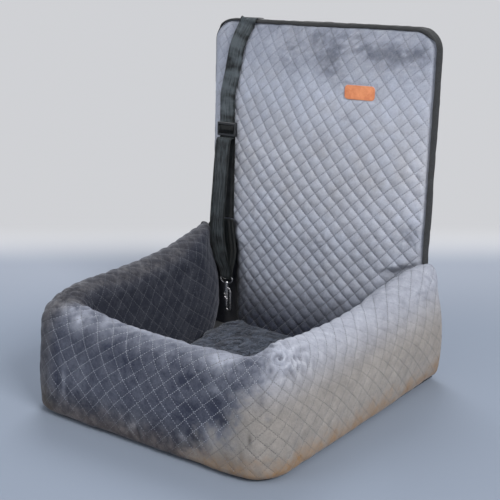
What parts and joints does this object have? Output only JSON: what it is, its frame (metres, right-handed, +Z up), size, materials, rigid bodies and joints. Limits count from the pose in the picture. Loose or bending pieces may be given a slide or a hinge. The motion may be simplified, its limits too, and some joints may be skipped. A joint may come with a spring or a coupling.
{
  "type": "pet car seat",
  "caption": "Quilted booster bed for a pet in a car, with padded walls, a loose seat cushion, a fold-down back panel and a webbing tether with a snap hook.",
  "frame": {"origin": "on the underside of the base panel, on the bed's middle line", "axes": "+Z up, +X to the right as seen from the front, +Y to the back panel"},
  "size_m": [0.63, 0.6337, 0.7098],
  "materials": {
    "quilted_velvet": "matte",
    "seat_velvet": "matte",
    "filling": "matte",
    "lining": "matte",
    "webbing": "satin",
    "binding": "matte",
    "label_leather": "satin",
    "glide_plastic": "gloss",
    "chrome": "polished"
  },
  "bodies": {
    "bed": {"base_panel": "lining", "left_bolster_cover": "quilted_velvet", "front_bolster_cover": "quilted_velvet", "right_bolster_cover": "quilted_velvet", "left_bolster_filling": "filling", "front_bolster_filling": "filling", "right_bolster_filling": "filling", "back_lower_quilt": "quilted_velvet", "back_lower_board": "filling", "back_lower_rear_cloth": "lining", "back_lower_left_binding": "binding", "back_lower_right_binding": "binding", "left_belt_loop": "webbing", "right_belt_loop": "webbing", "tether_loop_webbing": "webbing"},
    "cushion": {"cushion_cover": "seat_velvet", "cushion_filling": "filling"},
    "back_upper": {"back_upper_quilt": "quilted_velvet", "back_upper_board": "filling", "back_upper_rear_cloth": "lining", "back_upper_binding": "binding", "label_patch": "label_leather", "tether_upper_webbing": "webbing"},
    "tri_glide": {"tri_glide": "glide_plastic", "tether_back_webbing": "webbing"},
    "hook_eye": {"hook_eye": "chrome"},
    "hook": {"hook_body": "chrome", "hook_spring": "chrome"},
    "trigger": {"hook_trigger": "chrome"}
  },
  "joints": [
    {"name": "back_fold", "type": "hinge", "parent": "bed", "child": "back_upper", "pos_m": [0, 0.2625, 0.2655], "axis": [1, 0, 0], "range_deg": [-15, 88]},
    {"name": "cushion_lift", "type": "slide", "parent": "bed", "child": "cushion", "axis": [0, 0, 1], "range_m": [0, 0.12]},
    {"name": "glide_slide", "type": "slide", "parent": "back_upper", "child": "tri_glide", "axis": [0, 0.0436, 0.999], "range_m": [0, 0.05]},
    {"name": "hook_swing", "type": "hinge", "parent": "bed", "child": "hook_eye", "pos_m": [-0.209, 0.256, 0.131], "axis": [-1, 0, 0], "range_deg": [-5, 6]},
    {"name": "hook_swivel", "type": "hinge", "parent": "hook_eye", "child": "hook", "pos_m": [-0.209, 0.256, 0.119], "axis": [0, 0, 1], "continuous": true},
    {"name": "trigger_slide", "type": "slide", "parent": "hook", "child": "trigger", "axis": [0, 0, 1], "range_m": [0, 0.0085], "stiffness_N_per_m": 300, "deforming": ["hook_spring"]}
  ]
}
